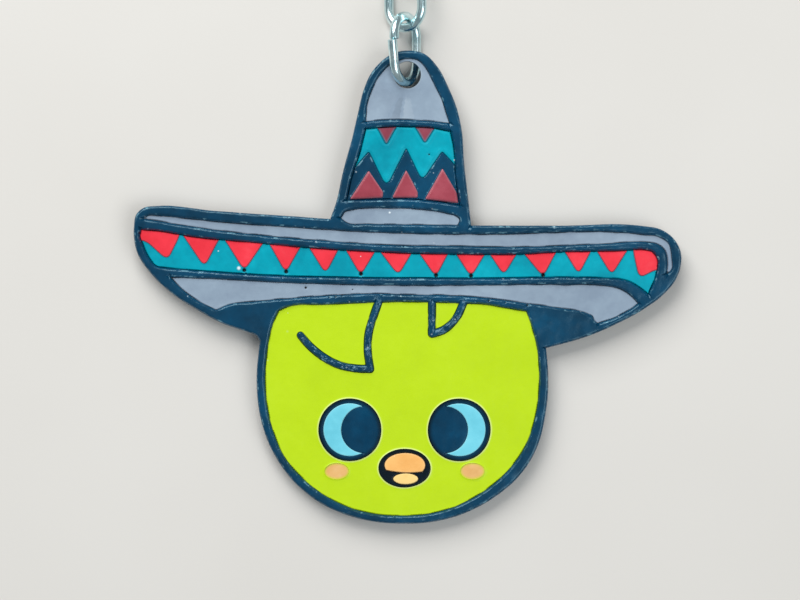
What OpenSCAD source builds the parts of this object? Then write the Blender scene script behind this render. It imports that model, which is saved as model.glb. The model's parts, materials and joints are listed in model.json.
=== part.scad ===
// Keychain: a flat soft-PVC charm, a chick's head in a sombrero, on a short wire chain and a split ring.
// Lengths are in millimetres. The charm is drawn flat, face up, with the ring towards +Y.

/* [Charm] */
// Thickness of the backing sheet
back_t = 1.2; // [0.9:0.1:1.4]
// Height of the raised line work above the backing
line_h = 1.2; // [0.9:0.1:1.4]
// How far the colour infills lie below the tops of the lines
fill_drop = 0.4; // [0.2:0.05:0.6]
// How far the eyes and the beak lie below the tops of the lines
face_drop = 0.25; // [0.1:0.05:0.6]
// Width of the feather strokes on the forehead
stroke_w = 0.9; // [0.7:0.05:1.1]
// Radius of the hanging hole in the crown's tip
hole_r = 1.75; // [1.7:0.05:1.85]
// Height that the crown's tip rests at, on the link that passes below it
tip_lift = 1.33; // [1.3:0.01:1.5]

/* [Chain] */
// Diameter of the link wire
wire_d = 1.2; // [1.1:0.05:1.2]
// Radius of a link's round end, to the wire's centre
bow_r = 2.6; // [2.5:0.05:2.7]
// Length of a link's straight sides
side_l = 3.2; // [3:0.1:3.4]

/* [Split ring] */
// Outside diameter of the ring
ring_d = 25; // [22:0.5:30]
// Width of the ring's wire, along the radius
ring_w = 1.6; // [1.2:0.1:1.7]
// Height of one turn of the ring's wire
turn_h = 1.05; // [0.8:0.05:1.05]
// Gap between the two turns
turn_gap = 0.1; // [0.05:0.01:0.12]

/* [Hidden] */

$fn = 48;
steps = 4;          // points along each stretch between two control points
chin_y = -30.35;    // lowest point of the charm's outline
tip_y = 30.2;       // highest point of the charm's outline
centre_x = -0.125;  // middle of the charm's width
relief_y = 24;      // the back of the crown's tip is relieved above this line
relief_h = 0.1;
hole_at = [-0.15, 27.1];
charm_t = back_t + line_h;
fill_z = charm_t - fill_drop;
face_z = charm_t - face_drop;
tilt = asin(tip_lift / (tip_y - chin_y));

// The charm's colours
navy = "#0c4466";
grey = "#938b98";
lime = "#a9cf1b";
teal = "#15979b";
bright_red = "#dd3b3c";
dark_red = "#a43943";
light_blue = "#86d3ec";
orange = "#f0a35a";
peach = "#eab173";
steel = "#c4c8cc";

// ---- Outlines of the charm: each is a list of smooth stretches that meet at corners ----

rim = [
  // crown, from its left foot over the tip to its right foot
  [[-10, 8.7], [-9.3, 10.7], [-8.3, 15], [-7.2, 19], [-6.5, 22], [-5.7, 25.3], [-4.5, 27.7], [-3, 29.2],
   [-1.5, 30], [0, 30.2], [2, 29.8], [3.8, 28], [5, 25.7], [6.2, 22.8], [6.8, 20], [7.1, 16], [7.7, 10.7],
   [8, 7.85]],
  // right half of the brim
  [[8, 7.85], [20, 7.85], [30, 7.8], [32.2, 7.4], [33.9, 6.2], [34.8, 4.6], [34.8, 2.6], [34.1, 0.8],
   [32.5, -1.1], [30, -2.9], [25, -5.5], [21.5, -6.8], [17.6, -7.8]],
  // head
  [[17.6, -7.8], [17.9, -11], [17.6, -16], [16.6, -20.2], [14.4, -24], [11.1, -26.9], [7.2, -29],
   [3.2, -30.1], [-0.7, -30.35], [-4.3, -30.1], [-8, -29.2], [-11.6, -27.5], [-14.9, -24.7],
   [-17.5, -20.9], [-19, -16.5], [-19.45, -12], [-19.2, -8.5], [-19, -7]],
  // left half of the brim
  [[-19, -7], [-19.4, -6.3], [-20.3, -5.9], [-23.5, -4.8], [-27.1, -2.9], [-30.8, -0.4], [-33.1, 1.9],
   [-34.6, 4.1], [-35.1, 6.3], [-35.1, 7.8], [-34.8, 9.3], [-33.9, 10.1], [-32, 10.35], [-25, 9.75],
   [-10, 8.7]]];

crown_cap = [
  [[-5.45, 21.1], [-5.3, 23.2], [-4.5, 25.6], [-3.3, 27.5], [-1.9, 28.7], [0, 29.2], [1.2, 29], [2.2, 28],
   [3.2, 26.1], [4.3, 23.8], [5.25, 20.9]],
  [[5.25, 20.9], [3, 21.15], [0, 21.35], [-3, 21.35], [-5.45, 21.1]]];

crown_band = [
  [[-5.5, 20.2], [-3, 20.45], [0, 20.5], [3, 20.35], [5.4, 19.9]],
  [[5.4, 19.9], [5.8, 18], [6.05, 14.5], [6.6, 10.4]],
  [[6.6, 10.4], [4, 10.8], [0, 11.2], [-4, 11.15], [-7.95, 11.05]],
  [[-7.95, 11.05], [-7.3, 14], [-6.4, 16.7], [-5.5, 20.2]]];

crown_hem = [
  [[-8.7, 8.8], [-8.2, 9.6], [-7, 9.9], [-2.9, 10.1], [2, 9.9], [5, 9.4], [6.1, 9.1], [6.6, 8.6], [6.3, 7.9]],
  [[6.3, 7.9], [0, 7.95], [-5, 8.1], [-8.7, 8.8]]];

brim_strip = [
  [[-33.9, 8.7], [-33.2, 9.15], [-32, 9.1], [-25, 8.4], [-15, 7.65], [-7, 7.15], [0, 6.85], [10, 6.75],
   [30, 6.7], [32, 6.4], [33.3, 5.5], [33.7, 3.8], [33.6, 2.1], [33, 1.6]],
  [[33, 1.6], [33.1, 3.2], [32.8, 4.6], [31.7, 5.5], [30.8, 5.65], [25, 5.5], [15, 5.1], [5, 5.2], [-3, 5.35],
   [-11, 5.9], [-25, 7.3], [-33.9, 8.7]]];

brim_band = [
  [[-34.2, 7.35], [-32, 7.2], [-28, 6.5], [-20, 5.7], [-11, 4.9], [-3, 4.45], [5, 4.2], [14, 4.2], [20, 4.5],
   [28, 4.7], [30, 4.8], [31.2, 4.5], [31.85, 3.6], [31.8, 1.9], [30.7, -1]],
  [[30.7, -1], [29.4, 0], [28.4, 0.6], [27.2, 0.95], [25, 1.1], [10, 1.1], [-5, 1.15], [-15, 1.35],
   [-25, 1.9], [-31, 2.4]],
  [[-31, 2.4], [-32.2, 2.65], [-33.3, 3.9], [-34, 5.5], [-34.35, 6.4], [-34.2, 7.35]]];

brim_under = [
  [[-30.5, 1.25], [-25, 1.05], [-14, 0.5], [0, 0.2], [20, 0.3], [25, 0.2], [27, -0.2], [28.2, -0.9],
   [29.4, -2.1]],
  [[29.4, -2.1], [28, -3.1], [26, -4.1], [24.2, -4.7]],
  [[24.2, -4.7], [23.8, -4.3], [23.5, -3.7], [22.8, -3.35], [20, -2.8], [15, -2.1], [10, -1.45], [5, -1.1],
   [0, -1], [-5, -0.9], [-10, -1.1], [-16, -1.55], [-20, -1.9], [-23, -2.25], [-24.6, -2.95]],
  [[-24.6, -2.95], [-27, -1.75], [-29, -0.3], [-30.5, 1.25]]];

face = [
  [[-16.6, -3], [-15.5, -2.55], [-11, -2.25], [-4.5, -2], [1, -1.9], [7, -2.1], [9.5, -2.2], [12, -2.6],
   [15.1, -3.1]],
  [[15.1, -3.1], [15.9, -5.5], [16.6, -8.7], [16.75, -12], [16.3, -16.5], [14.7, -20.9], [11.7, -24.6],
   [8, -27.2], [4, -28.8], [-0.7, -29.35], [-5, -29], [-9, -27.7], [-12.7, -25.3], [-15.6, -22.2],
   [-17.5, -18], [-18.35, -12.5], [-18, -7.6], [-17, -3.8], [-16.6, -3]]];

// Lower edge of the crown's teal zigzag; its ends run on past the band's sides
zigzag = [[-9, 13], [-6.7, 15.4], [-5.1, 17.3], [-3.2, 13.5], [-2.8, 13.2], [-2.4, 13.5], [-0.3, 17.7],
          [1.4, 14.2], [1.8, 13.9], [2.2, 14.2], [4.3, 17.3], [5.9, 15.6], [8, 13.2]];
upper_triangles = [[[-4.2, 20.7], [-1.4, 20.7], [-2.8, 18.1]], [[0.7, 20.7], [3.6, 20.7], [2.1, 18.3]]];
lower_triangles = [[[-7.5, 11.2], [-5.1, 14.9], [-3.2, 12.1], [-3.3, 11.4]],
                   [[-2.1, 11.4], [-0.3, 15], [1.2, 12.1], [1.2, 11.4]],
                   [[2.1, 11.2], [4.35, 15.2], [6.2, 12], [6.4, 10.7], [5.4, 10.8]]];

// Brim triangles: left and right corner on the band's top edge, and tip
brim_triangles = [[-28.5, -24.4, -26.1, 3], [-23.5, -18.6, -21, 2.5], [-17.8, -13.8, -15.7, 2.2],
                  [-12.7, -9, -10.6, 2.1], [-8, -4.3, -6.1, 1.9], [-3.6, 0.4, -1.3, 1.9],
                  [1.4, 5, 3.5, 1.7], [6.1, 9.8, 8, 1.7], [10.4, 13.8, 12.2, 1.9], [14.8, 18.9, 17.2, 1.7],
                  [20, 23.3, 21.8, 2], [24.1, 28, 26, 1.9]];
left_end_triangle = [[-36, 6], [-36, 9], [-29.2, 9], [-29.2, 6.7], [-30.8, 3.4], [-33.7, 6]];
right_end_triangle = [[28.7, 4.7], [28.7, 6], [34, 6], [34, 2.3], [31.8, 2.3], [29.5, 1.1]];

left_feather = [[[-3.7, -1.6], [-4.5, -3.8], [-5.1, -6], [-5.2, -8.3], [-4.9, -10.5]],
                [[-4.9, -10.5], [-6.9, -10.43], [-9, -9.95], [-11.1, -8.85], [-12.7, -7.5], [-13.8, -6.2]]];
tuft = [[[3, -1.5], [3, -6]], [[3, -6], [4.5, -5.5], [6, -4.1], [7.2, -1.7]]];

eye_at = [-0.5, -18.3];
eye_gap = 7;       // half the distance between the eyes' centres
eye_r = 4.05;
glint_r = 3.4;     // the glint is a plain crescent inside the eye's outer edge
glint_bite_r = 3;
glint_bite_x = 1.9;
cheek_gap = 8.7;
cheek_y = -23.6;
cheek_size = [1.55, 1.05];        // half widths and half heights of the ovals
beak_at = [-0.5, -23.2];
beak_size = [3.35, 2.5];
upper_beak_at = beak_at + [0.05, 0.35];
upper_beak_size = [2.6, 1.6];
mouth_y = beak_at[1] - 0.45;      // the upper beak is cut off flat at the mouth
lower_beak_at = beak_at + [0.15, -1.4];
lower_beak_size = [1.6, 0.7];

// ---- Smooth curves through a list of points ----

function slope(p, i) = (p[i + 1] - p[i]) / norm(p[i + 1] - p[i]);
function span(p, i) = norm(p[i + 1] - p[i]);
function heading(p, i) =
  i == 0 ? slope(p, 0) :
  i == len(p) - 1 ? slope(p, i - 1) :
  (slope(p, i - 1) * span(p, i) + slope(p, i) * span(p, i - 1)) / (span(p, i - 1) + span(p, i));
function between(p, i, t) =
  p[i] * (2 * t^3 - 3 * t^2 + 1) + p[i + 1] * (3 * t^2 - 2 * t^3)
  + span(p, i) * (heading(p, i) * (t^3 - 2 * t^2 + t) + heading(p, i + 1) * (t^3 - t^2));
// The curve through p, without its last point
function curve(p) = [for (i = [0:len(p) - 2]) for (k = [0:steps - 1]) between(p, i, k / steps)];
function outline(stretches) = [for (s = stretches) each len(s) == 2 ? [s[0]] : curve(s)];
function oval(at, size, n = 40) = [for (a = [0:360 / n:359]) at + [size[0] * cos(a), size[1] * sin(a)]];

function left_of(v) = [-v[1], v[0]] / norm(v);
function tangent(p, i) = p[min(i + 1, len(p) - 1)] - p[max(i - 1, 0)];

module shape(stretches) polygon(outline(stretches));

// The round end of a stroke that runs out in the direction d, from its left side to its right side
function cap(at, d) = [for (a = [90:-15:-90]) at + stroke_w / 2 * (cos(a) * d / norm(d) + sin(a) * left_of(d))];
// A stroke of even width along a curve, with round ends
module stroke(p) {
  c = len(p) == 2 ? p : [each curve(p), p[len(p) - 1]];
  last = len(c) - 1;
  polygon(concat([for (i = [1:1:last - 1]) c[i] + left_of(tangent(c, i)) * stroke_w / 2],
                 cap(c[last], tangent(c, last)),
                 [for (i = [last - 1:-1:1]) c[i] - left_of(tangent(c, i)) * stroke_w / 2],
                 cap(c[0], -tangent(c, 0))));
}

// ---- Flat regions of the charm ----

module zigzag_above() polygon(concat(zigzag, [[8, 24], [-9, 24]]));
module crown_upper_2d() for (t = upper_triangles) intersection() { shape(crown_band); polygon(t); }
module crown_lower_2d() for (t = lower_triangles) polygon(t);
module crown_teal_2d() difference() {
  intersection() { shape(crown_band); zigzag_above(); }
  crown_upper_2d();
}
module crown_navy_2d() difference() {
  shape(crown_band);
  zigzag_above();
  crown_lower_2d();
}

function band_top(x) = lookup(x, [for (p = brim_band[0]) if (p[0] < 30.5) p]);
function brim_triangle(t) = [[t[0], band_top(t[0])], [t[0], 8], [t[1], 8], [t[1], band_top(t[1])], [t[2], t[3]]];
module brim_red_2d() intersection() {
  shape(brim_band);
  union() {
    for (t = brim_triangles) polygon(brim_triangle(t));
    polygon(left_end_triangle);
    polygon(right_end_triangle);
  }
}
module brim_teal_2d() difference() { shape(brim_band); brim_red_2d(); }

module feathers_2d() for (s = concat(left_feather, tuft)) stroke(s);
// The face is parted by the feather strokes: the small piece inside the tuft is a fill of its own
module tuft_box() polygon([[3, 0], [3, -6], [4.5, -5.5], [6, -4.1], [7.2, -1.7], [7.2, 0]]);
module tuft_2d() difference() {
  intersection() { shape(face); tuft_box(); }
  feathers_2d();
}

module eye_2d(side) translate([eye_at[0] + side * eye_gap, eye_at[1]]) circle(r = eye_r);
module glint_2d(side) translate([eye_at[0] + side * eye_gap, eye_at[1]]) difference() {
  circle(r = glint_r);
  translate([-side * glint_bite_x, 0]) circle(r = glint_bite_r);
}
module cheek_2d(side) polygon(oval([eye_at[0] + side * cheek_gap, cheek_y], cheek_size));
module beak_2d() polygon(oval(beak_at, beak_size));
module upper_beak_2d() intersection() {
  polygon(oval(upper_beak_at, upper_beak_size));
  translate([beak_at[0] - beak_size[0], mouth_y]) square([2 * beak_size[0], beak_size[1] * 2]);
}
module lower_beak_2d() polygon(oval(lower_beak_at, lower_beak_size));

module face_2d() difference() {
  shape(face);
  feathers_2d();
  tuft_box();
  beak_2d();
  for (side = [-1, 1]) {
    eye_2d(side);
    cheek_2d(side);
  }
}

module hole_2d() translate(hole_at) circle(r = hole_r);
module tip_2d() intersection() { shape(rim); translate([-10, relief_y]) square([20, 10]); }

// ---- Placing ----

// Moves everything so that the origin is below the middle of the whole keychain
module on_table() translate([-centre_x, -(chin_y + ring_far_y) / 2, 0]) children();
// The charm leans on its chin, with its tip on the first link
module laid() on_table() translate([0, chin_y, 0]) rotate([tilt, 0, 0]) translate([0, -chin_y, 0]) children();
// An infill of the charm, from the backing up to height z
module infill(z, colour) color(colour) laid() translate([0, 0, back_t]) linear_extrude(z - back_t) children();

// ---- Charm ----

module back_layer() color(navy) laid() {
  linear_extrude(back_t) difference() { shape(rim); tip_2d(); }
  translate([0, 0, relief_h]) linear_extrude(back_t - relief_h) difference() { tip_2d(); hole_2d(); }
}

module outline_walls() infill(charm_t, navy) difference() {
  shape(rim);
  for (pocket = [crown_cap, crown_band, crown_hem, brim_strip, brim_band, brim_under]) shape(pocket);
  difference() { shape(face); feathers_2d(); }
}

module crown_cap_fill() infill(fill_z, grey) difference() { shape(crown_cap); hole_2d(); }
module crown_navy_zigzag() infill(fill_z, navy) crown_navy_2d();
module crown_teal_zigzag() infill(fill_z, teal) crown_teal_2d();
module crown_upper_triangles() infill(fill_z, dark_red) crown_upper_2d();
module crown_lower_triangles() infill(fill_z, dark_red) crown_lower_2d();
module crown_hem_fill() infill(fill_z, grey) shape(crown_hem);
module brim_edge_fill() infill(fill_z, grey) shape(brim_strip);
module brim_teal_band() infill(fill_z, teal) brim_teal_2d();
module brim_red_triangles() infill(fill_z, bright_red) brim_red_2d();
module brim_under_fill() infill(fill_z, grey) shape(brim_under);
module face_fill() infill(fill_z, lime) face_2d();
module tuft_fill() infill(fill_z, lime) tuft_2d();
module eye(side) infill(face_z, navy) difference() { eye_2d(side); glint_2d(side); }
module eye_glint(side) infill(face_z, light_blue) glint_2d(side);
module beak_outline() infill(face_z, navy) difference() { beak_2d(); upper_beak_2d(); lower_beak_2d(); }
module upper_beak() infill(face_z, orange) upper_beak_2d();
module lower_beak() infill(face_z, peach) lower_beak_2d();
module cheek(side) infill(fill_z, peach) cheek_2d(side);

// ---- Chain ----

// Places of the links' middles before on_table(), and how far each link leans about its length
link_at = [[-0.4, 30.35, 2.78], [-0.4, 37.35, 2.13], [-0.4, 44.35, 2.8], [-0.4, 51.35, 2.2], [-0.4, 58.3, 2.9]];
link_lean = [-57, 36, -60, 28, -64];

module link_frame(i) on_table() translate(link_at[i]) rotate([0, -link_lean[i], 0]) children();
// One round end, centred on the origin and open towards -Y
module bow() rotate_extrude(angle = 180) translate([bow_r, 0]) circle(d = wire_d);
// A straight wire of length l along +Y
module straight(l) rotate([-90, 0, 0]) cylinder(d = wire_d, h = l);

module link(i) color(steel) link_frame(i) {
  for (turn = [0, 180]) rotate([0, 0, turn]) {
    translate([0, side_l / 2, 0]) bow();
    translate([bow_r, -side_l / 2, 0]) straight(side_l);
  }
}

// The first link's left side is parted: a short stub above, and below it an end that is sprung outwards
stub_l = 0.45;
sprung_l = 2.7;
sprung_turn = 10;
module connecting_link() color(steel) link_frame(0) {
  for (turn = [0, 180]) rotate([0, 0, turn]) translate([0, side_l / 2, 0]) bow();
  translate([bow_r, -side_l / 2, 0]) straight(side_l);
  translate([-bow_r, side_l / 2 - stub_l, 0]) straight(stub_l);
  translate([-bow_r, -side_l / 2, 0]) {
    sphere(d = wire_d);
    rotate([0, 0, sprung_turn]) straight(sprung_l);
  }
}

// ---- Split ring ----

ring_r = ring_d / 2 - ring_w / 2;       // radius to the middle of the wire
ring_h = 2 * turn_h + turn_gap;
ring_near_z = 2.6;                      // the near side rides on the last link
ring_slack = 0.15;                      // the wire's middle lies this far beyond the last link's bow centre
ring_tilt = asin((ring_near_z - ring_h / 2) / (2 * ring_r));
ring_near_y = link_at[4][1] + side_l / 2 + ring_slack;
ring_far_y = ring_near_y + (2 * ring_r + ring_w / 2) * cos(ring_tilt) + ring_h / 2 * sin(ring_tilt);
ramp_turn = 16;                         // angle over which the wire steps from one turn to the other

module turn(z) translate([0, 0, z]) rotate([0, 0, ramp_turn / 2])
  rotate_extrude(angle = 360 - ramp_turn, $fn = 96) translate([ring_r - ring_w / 2, 0]) square([ring_w, turn_h]);
// The step: a slanted stretch of wire that joins the top of one turn to the bottom of the other
module ramp() hull() for (end = [[-1, -ring_h / 2], [1, turn_gap / 2]])
  rotate([0, 0, end[0] * (ramp_turn / 2 + 0.5)]) translate([ring_r - ring_w / 2, -0.05, end[1]])
    cube([ring_w, 0.1, turn_h]);

module split_ring() color(steel) on_table()
  translate([link_at[4][0], ring_near_y, ring_near_z]) rotate([-ring_tilt, 0, 0])
    translate([0, ring_r, 0]) rotate([0, 0, 60]) {
      turn(-ring_h / 2);
      turn(turn_gap / 2);
      ramp();
    }

back_layer();
outline_walls();
crown_cap_fill();
crown_navy_zigzag();
crown_teal_zigzag();
crown_upper_triangles();
crown_lower_triangles();
crown_hem_fill();
brim_edge_fill();
brim_teal_band();
brim_red_triangles();
brim_under_fill();
face_fill();
tuft_fill();
eye(-1);  // left_eye
eye(1);  // right_eye
eye_glint(-1);  // left_eye_glint
eye_glint(1);  // right_eye_glint
beak_outline();
upper_beak();
lower_beak();
cheek(-1);  // left_cheek
cheek(1);  // right_cheek
connecting_link();
link(1);  // chain_link_2
link(2);  // chain_link_3
link(3);  // chain_link_4
link(4);  // chain_link_5
split_ring();
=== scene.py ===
# %% [markdown]
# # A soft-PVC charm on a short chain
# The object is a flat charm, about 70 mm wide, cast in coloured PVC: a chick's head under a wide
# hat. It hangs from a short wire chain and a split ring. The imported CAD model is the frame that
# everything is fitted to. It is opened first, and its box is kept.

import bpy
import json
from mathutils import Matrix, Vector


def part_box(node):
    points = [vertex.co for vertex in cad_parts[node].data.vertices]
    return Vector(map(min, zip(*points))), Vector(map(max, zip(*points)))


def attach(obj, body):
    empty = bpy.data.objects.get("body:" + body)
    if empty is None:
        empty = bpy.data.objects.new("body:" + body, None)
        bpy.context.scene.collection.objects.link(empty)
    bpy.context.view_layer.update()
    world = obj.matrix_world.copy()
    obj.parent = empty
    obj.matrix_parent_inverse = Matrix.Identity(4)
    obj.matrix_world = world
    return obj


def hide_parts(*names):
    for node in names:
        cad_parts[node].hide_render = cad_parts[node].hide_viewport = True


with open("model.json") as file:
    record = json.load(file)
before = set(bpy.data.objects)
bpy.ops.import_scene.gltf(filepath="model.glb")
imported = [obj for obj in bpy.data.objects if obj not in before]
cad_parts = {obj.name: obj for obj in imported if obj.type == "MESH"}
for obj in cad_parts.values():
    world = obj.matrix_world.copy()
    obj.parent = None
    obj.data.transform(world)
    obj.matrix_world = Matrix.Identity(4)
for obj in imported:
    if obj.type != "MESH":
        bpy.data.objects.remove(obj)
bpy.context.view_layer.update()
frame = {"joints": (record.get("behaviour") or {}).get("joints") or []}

# %% [markdown]
# ## Camera, light and floor
# The camera looks straight down at the charm, and the far end of the chain runs out of the
# picture at the top. It stands 400 mm away, as a hand-held camera would, and its lens is worked
# out from the width that it should take in. The light is a plain studio: one large soft lamp
# beyond the upper left of the picture, a weaker one opposite, and a dim pale sky.

# %% Camera
import bpy
import numpy as np
from mathutils import Vector

MM = 0.001
camera_height = 400.0
picture_width = 102.4
film_width = 36.0
line_top_z = 2.4
left_of_middle = 0.97
above_chin = 28.65
charm_low, charm_high = (np.array(corner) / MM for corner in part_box("back_layer"))
look_at = ((charm_low[0] + charm_high[0]) / 2 - left_of_middle, charm_low[1] + above_chin)

camera_data = bpy.data.cameras.new("camera")
camera_data.sensor_width = film_width
camera_data.lens = film_width * (camera_height - line_top_z) / picture_width
camera_data.clip_start = 0.01
camera = bpy.data.objects.new("camera", camera_data)
camera.location = Vector((look_at[0], look_at[1], camera_height)) * MM
bpy.context.scene.collection.objects.link(camera)
bpy.context.scene.camera = camera
print("lens, mm:", round(camera_data.lens, 1))


# %% Lamps and sky
def soft_lamp(name, place, size, power, colour):
    """A square area lamp of a size in mm, at a place in mm, turned to the middle of the picture."""
    data = bpy.data.lights.new(name, "AREA")
    data.size = size * MM
    data.energy = power
    data.color = colour
    lamp = bpy.data.objects.new(name, data)
    lamp.location = Vector(place) * MM
    aim = Vector((look_at[0], look_at[1], 0)) * MM - lamp.location
    lamp.rotation_euler = aim.to_track_quat("-Z", "Y").to_euler()
    bpy.context.scene.collection.objects.link(lamp)
    return lamp


soft_lamp("key_lamp", (-160, 370, 400), size=450, power=3.8, colour=(1.0, 0.99, 0.97))
soft_lamp("fill_lamp", (330, -200, 560), size=420, power=1.6, colour=(0.95, 0.98, 1.0))
sky = bpy.data.worlds.new("sky")
sky.use_nodes = True
background = sky.node_tree.nodes["Background"]
background.inputs["Color"].default_value = (0.92, 0.97, 1.0, 1)
background.inputs["Strength"].default_value = 0.3
bpy.context.scene.world = sky
bpy.context.scene.view_settings.view_transform = "Standard"

# %% [markdown]
# ## Shader maths as sums
# A finish is a recipe of shader nodes. Linking them by hand hides what a finish says, so one small
# class stands for a socket and turns + - * / into Math nodes, and one method adds any other node.
# A finish then reads like a formula.


# %% A socket that can be used in a sum
class Value:
    """The output of a node. An operator on it adds the Math node of that operation."""

    def __init__(self, recipe, socket):
        self.recipe = recipe
        self.socket = socket

    def math(self, operation, *values):
        return self.recipe.node("ShaderNodeMath", {"operation": operation}, dict(enumerate(values)))

    def __add__(self, other):
        return self.math("ADD", self, other)

    def __sub__(self, other):
        return self.math("SUBTRACT", self, other)

    def __mul__(self, other):
        return self.math("MULTIPLY", self, other)

    def __rsub__(self, other):
        return self.math("SUBTRACT", other, self)

    __radd__ = __add__
    __rmul__ = __mul__


# %% A finish and its nodes
class Finish:
    """A material under construction. node() adds a node: its type, its settings, its inputs."""

    def __init__(self, name):
        self.material = bpy.data.materials.new(name)
        self.material.use_nodes = True
        self.tree = self.material.node_tree
        self.tree.nodes.clear()
        self.place = self.node("ShaderNodeTexCoord", output="Object")

    def node(self, kind, settings=None, inputs=None, output=0):
        made = self.tree.nodes.new(kind)
        for key, value in (settings or {}).items():
            setattr(made, key, value)
        for key, value in (inputs or {}).items():
            if isinstance(value, Value):
                self.tree.links.new(value.socket, made.inputs[key])
            else:
                made.inputs[key].default_value = value
        return Value(self, made.outputs[output])

    def mix(self, share, first, second):
        """The first colour where share is 0, the second where it is 1."""
        return self.node("ShaderNodeMix", {"data_type": "RGBA"}, {0: share, 6: first, 7: second}, 2)

    def noise(self, size, detail=2.0, roughness=0.5):
        """Cloudy noise whose largest lumps are about `size` mm across."""
        inputs = {"Vector": self.place, "Scale": 1 / (size * MM)}
        inputs |= {"Detail": detail, "Roughness": roughness}
        return self.node("ShaderNodeTexNoise", None, inputs)

    def between(self, value, low, high):
        """0 where value is under low, 1 where it is over high, and an eased step between."""
        inputs = {"Value": value, "From Min": low, "From Max": high}
        return self.node("ShaderNodeMapRange", {"interpolation_type": "SMOOTHSTEP"}, inputs)

    def attribute(self, name):
        """A number that the mesh keeps per point."""
        return self.node("ShaderNodeAttribute", {"attribute_name": name}, None, "Fac")

    def surface(self, colour, roughness, height, **fixed):
        """Ends the recipe: height is in mm, and fixed inputs are plain numbers on the shader."""
        bump = self.node("ShaderNodeBump", None, {"Height": height, "Distance": MM, "Strength": 1.0})
        inputs = {"Base Color": colour, "Roughness": roughness, "Normal": bump}
        inputs.update({key.replace("_", " "): value for key, value in fixed.items()})
        shader = self.node("ShaderNodeBsdfPrincipled", None, inputs)
        output = self.tree.nodes.new("ShaderNodeOutputMaterial")
        self.tree.links.new(shader.socket, output.inputs["Surface"])
        return self.material


def shade(code):
    """The linear colour of a six-digit hex code, as shader sockets want it: c / 12.92 for dark
    channels, and ((c + 0.055) / 1.055)^2.4 for the others."""
    channels = np.array([int(code[i : i + 2], 16) for i in (1, 3, 5)]) / 255
    linear = np.where(channels <= 0.04045, channels / 12.92, ((channels + 0.055) / 1.055) ** 2.4)
    return (*linear.tolist(), 1.0)


print("lime is", [round(c, 3) for c in shade("#b0d927")])

# %% [markdown]
# ## The floor
# The charm lies on a pale matt board. It isn't part of the object.


# %% Floor
def board_finish():
    """Pale board: soft, wide clouds in its colour and a very fine tooth."""
    finish = Finish("pale_board")
    clouds = finish.noise(60, 3)
    tooth = 0.006 * finish.noise(0.5, 2)
    colour = finish.mix(clouds, shade("#cfccc7"), shade("#dad8d4"))
    return finish.surface(colour, 0.7 + 0.1 * clouds, tooth, Specular_IOR_Level=0.2)


floor_half = 1500 * MM
floor_mesh = bpy.data.meshes.new("floor")
floor_corners = [(x * floor_half, y * floor_half, 0) for x, y in ((-1, -1), (1, -1), (1, 1), (-1, 1))]
floor_mesh.from_pydata(floor_corners, [], [(0, 1, 2, 3)])
floor_mesh.materials.append(board_finish())
floor = bpy.data.objects.new("floor", floor_mesh)
bpy.context.scene.collection.objects.link(floor)
print("floor, mm:", [round(v / MM) for v in floor.dimensions])

# %% [markdown]
# ## The charm's drawing
# The charm is cast from a flat drawing: navy lines with pockets of colour between them. It is the
# drawing that the CAD model extrudes, in millimetres, with the ring towards +Y. Only the hem's
# lower left end, the brim's triangles and the line between the beak's halves differ, by a few
# tenths of a millimetre.
# Each border is a list of stretches. A stretch of many points is a smooth curve through them, one
# of two points is straight, and stretches meet at corners. Few points and a formula give a
# smoother edge than a long list of points would.

# %% Borders of the rim and of the hat
rim_border = [
    [[-10, 8.7], [-9.3, 10.7], [-8.3, 15], [-7.2, 19], [-6.5, 22], [-5.7, 25.3], [-4.5, 27.7], [-3, 29.2],
     [-1.5, 30], [0, 30.2], [2, 29.8], [3.8, 28], [5, 25.7], [6.2, 22.8], [6.8, 20], [7.1, 16], [7.7, 10.7],
     [8, 7.85]],
    [[8, 7.85], [20, 7.85], [30, 7.8], [32.2, 7.4], [33.9, 6.2], [34.8, 4.6], [34.8, 2.6], [34.1, 0.8],
     [32.5, -1.1], [30, -2.9], [25, -5.5], [21.5, -6.8], [17.6, -7.8]],
    [[17.6, -7.8], [17.9, -11], [17.6, -16], [16.6, -20.2], [14.4, -24], [11.1, -26.9], [7.2, -29],
     [3.2, -30.1], [-0.7, -30.35], [-4.3, -30.1], [-8, -29.2], [-11.6, -27.5], [-14.9, -24.7],
     [-17.5, -20.9], [-19, -16.5], [-19.45, -12], [-19.2, -8.5], [-19, -7]],
    [[-19, -7], [-19.4, -6.3], [-20.3, -5.9], [-23.5, -4.8], [-27.1, -2.9], [-30.8, -0.4], [-33.1, 1.9],
     [-34.6, 4.1], [-35.1, 6.3], [-35.1, 7.8], [-34.8, 9.3], [-33.9, 10.1], [-32, 10.35], [-25, 9.75],
     [-10, 8.7]]]
crown_cap_border = [
    [[-5.45, 21.1], [-5.3, 23.2], [-4.5, 25.6], [-3.3, 27.5], [-1.9, 28.7], [0, 29.2], [1.2, 29], [2.2, 28],
     [3.2, 26.1], [4.3, 23.8], [5.25, 20.9]],
    [[5.25, 20.9], [3, 21.15], [0, 21.35], [-3, 21.35], [-5.45, 21.1]]]
crown_band_border = [
    [[-5.5, 20.2], [-3, 20.45], [0, 20.5], [3, 20.35], [5.4, 19.9]],
    [[5.4, 19.9], [5.8, 18], [6.05, 14.5], [6.6, 10.4]],
    [[6.6, 10.4], [4, 10.8], [0, 11.2], [-4, 11.15], [-7.95, 11.05]],
    [[-7.95, 11.05], [-7.3, 14], [-6.4, 16.7], [-5.5, 20.2]]]
crown_hem_border = [
    [[-8.7, 8.8], [-8.2, 9.6], [-7, 9.9], [-2.9, 10.1], [2, 9.9], [5, 9.4], [6.1, 9.1], [6.6, 8.6],
     [6.3, 7.9]],
    [[6.3, 7.9], [0, 7.95], [-5, 8.05], [-8.1, 8.3], [-8.7, 8.8]]]
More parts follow.
